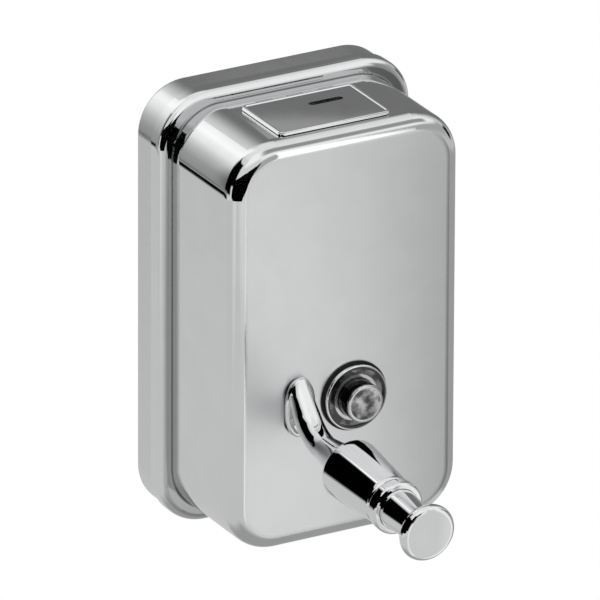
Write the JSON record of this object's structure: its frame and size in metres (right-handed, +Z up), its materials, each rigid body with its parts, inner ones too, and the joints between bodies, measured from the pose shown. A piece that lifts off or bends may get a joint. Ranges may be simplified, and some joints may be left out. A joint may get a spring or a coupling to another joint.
{
  "type": "soap dispenser",
  "caption": "Wall-hung polished metal liquid soap dispenser with a hinged filler lid on top, a round sight glass and a push-button pump valve on a swan neck.",
  "frame": {"origin": "middle of the wall plane, at the mid-height of the tank", "axes": "+Z up, the front faces -Y, +Y points into the wall, +X to the right seen from the front"},
  "size_m": [0.13, 0.2035, 0.211],
  "materials": {
    "polished_shell": "mirror polished steel sheet",
    "polished_pan": "mirror polished steel sheet",
    "polished_valve": "bright chrome plate",
    "plain_steel": "plain stainless steel",
    "rubber": "black rubber",
    "clear_plastic": "clear moulded plastic",
    "plastic": "natural moulded plastic",
    "brass": "turned brass"
  },
  "bodies": {
    "dispenser": {"front_shell": "polished_shell", "back_pan": "polished_pan", "valve_arm": "polished_valve", "barrel_ring": "polished_valve", "window_bezel": "polished_valve", "hanger_strap": "plain_steel", "wall_bracket": "plain_steel", "filler_collar": "plain_steel", "hinge_leaf": "plain_steel", "hinge_pin": "plain_steel", "ball_stop_pin": "plain_steel", "return_spring": "plain_steel", "window_gasket": "rubber", "lens_seal": "rubber", "window_washer": "rubber", "valve_gasket": "rubber", "shank_washer": "rubber", "outlet_valve": "rubber", "window_lens": "clear_plastic", "intake_elbow": "plastic", "dip_tube": "plastic", "outlet_insert": "plastic", "window_nut": "brass", "shank_nut": "brass"},
    "plunger": {"plunger_stem": "polished_valve", "piston": "plastic", "piston_seal": "rubber", "piston_screw": "plain_steel", "push_button": "polished_valve"},
    "lid": {"lid_plate": "polished_shell", "lid_gasket": "rubber", "latch_guide": "plain_steel"},
    "latch": {"latch_bolt": "plain_steel"},
    "check_ball": {"check_ball": "plain_steel"}
  },
  "joints": [
    {"name": "button_push", "type": "slide", "parent": "dispenser", "child": "plunger", "axis": [0, 0.9986, 0.0523], "range_m": [0, 0.01], "stiffness_N_per_m": 500, "springref_m": -0.006, "deforming": ["return_spring"]},
    {"name": "lid_hinge", "type": "hinge", "parent": "dispenser", "child": "lid", "pos_m": [0, -0.0361, 0.1004], "axis": [-1, 0, 0], "range_deg": [0, 110]},
    {"name": "latch_slide", "type": "slide", "parent": "lid", "child": "latch", "axis": [1, 0, 0], "range_m": [0, 0.004]},
    {"name": "check_ball_lift", "type": "slide", "parent": "dispenser", "child": "check_ball", "axis": [0, 0, 1], "range_m": [0, 0.002]}
  ]
}
